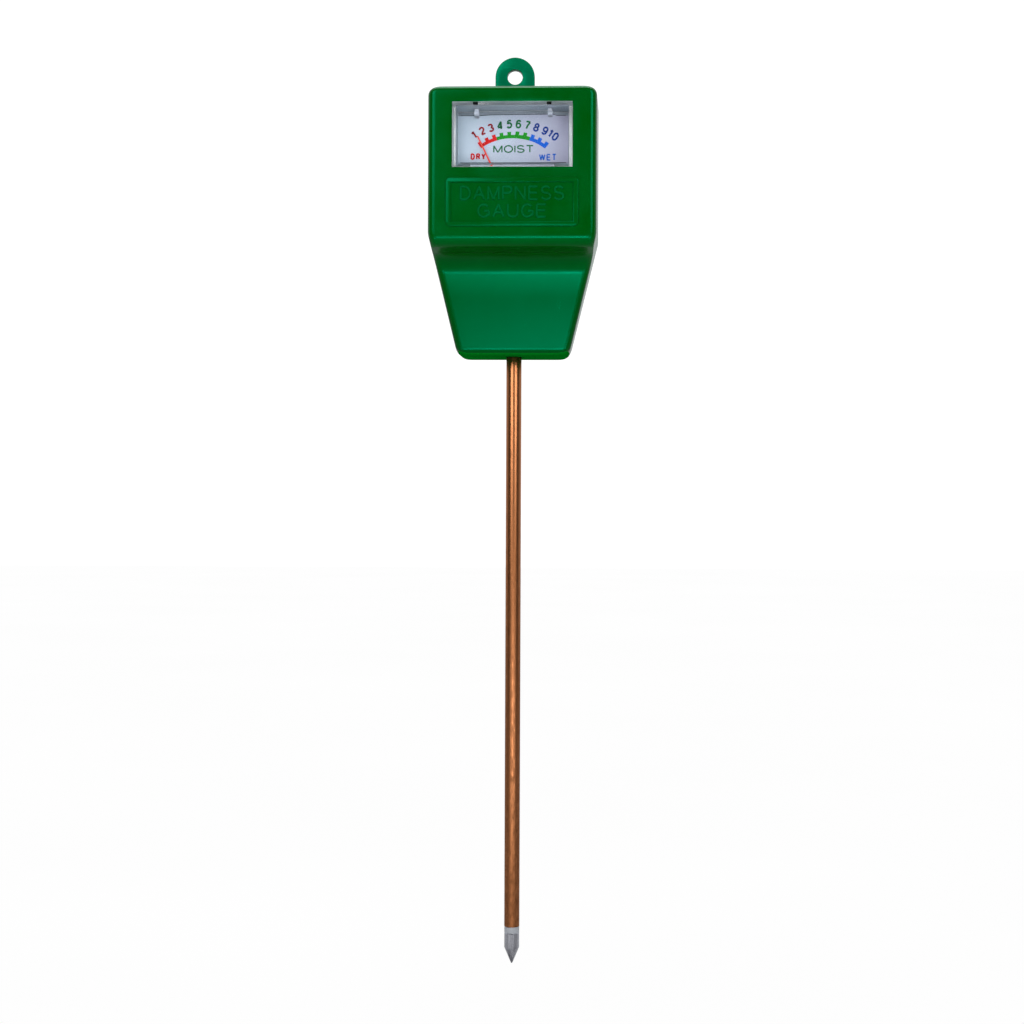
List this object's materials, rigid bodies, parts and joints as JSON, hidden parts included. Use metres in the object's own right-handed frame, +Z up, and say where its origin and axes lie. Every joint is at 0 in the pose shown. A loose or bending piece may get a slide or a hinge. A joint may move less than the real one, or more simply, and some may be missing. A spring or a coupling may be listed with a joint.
{
  "type": "soil moisture meter",
  "caption": "Hand-held soil moisture meter: moulded case with a clear-fronted needle dial, hanging tab, and a straight two-metal probe with a pointed tip.",
  "frame": {"origin": "on the probe's axis, in the plane of the case's foot, where the probe enters the case", "axes": "+Z up along the probe's axis to the hanging tab, the dial faces -Y, +X to the right of someone reading the dial"},
  "size_m": [0.0552, 0.0365, 0.2991],
  "materials": {
    "green_plastic": "moulded, satin gloss, faintly mottled",
    "clear_plastic": "clear polystyrene, polished",
    "white_plastic": "moulded",
    "printed_card": "matt, printed scale",
    "plated_steel": "zinc plated",
    "bright_steel": "ground",
    "magnet_metal": "ground",
    "plain_brass": "stamped",
    "spring_bronze": "rolled strip",
    "bare_aluminium": "stamped",
    "needle_paint": "orange-red paint on thin aluminium",
    "enamelled_wire": "wound enamelled copper wire",
    "copper": "brushed, slightly tarnished",
    "red_insulation": "extruded",
    "black_insulation": "extruded",
    "tinned_wire": "tinned copper wire"
  },
  "bodies": {
    "case": {"front_housing": "green_plastic", "back_cover": "green_plastic", "cover_screws": "plated_steel", "meter_cover": "clear_plastic", "meter_base": "white_plastic", "meter_screws": "plated_steel", "dial_card": "printed_card", "dial_rivets": "bare_aluminium", "meter_terminals": "plain_brass", "yoke_ring": "plated_steel", "core_magnet": "magnet_metal", "core_bracket": "plain_brass", "front_bridge": "plain_brass", "bridge_pillars": "plain_brass", "bridge_screws": "plated_steel", "front_bearing": "plain_brass", "spring_anchor": "plain_brass", "front_hairspring": "spring_bronze", "rear_bridge": "plain_brass", "rear_bridge_screws": "plated_steel", "rear_bearing": "plain_brass", "rear_hairspring": "spring_bronze", "needle_stops": "plated_steel", "probe_tube": "copper", "insulator_ring": "white_plastic", "tip_electrode": "bright_steel", "core_rod": "bright_steel", "core_sleeve": "white_plastic", "top_bush": "white_plastic", "rod_tag": "plain_brass", "rod_nut": "plated_steel", "tube_tag": "plain_brass", "tube_lead": "red_insulation", "rod_lead": "black_insulation", "link_wires": "tinned_wire"},
    "movement": {"needle": "needle_paint", "balance_arms": "bare_aluminium", "balance_weights": "plain_brass", "front_pivot": "plated_steel", "rear_pivot": "plated_steel", "coil_former": "bare_aluminium", "moving_coil": "enamelled_wire"}
  },
  "joints": [
    {"name": "needle_swing", "type": "hinge", "parent": "case", "child": "movement", "pos_m": [0, -0.0072, 0.0456], "axis": [0, 1, 0], "range_deg": [-2, 54.6], "stiffness_Nm_per_rad": 0.00002}
  ]
}
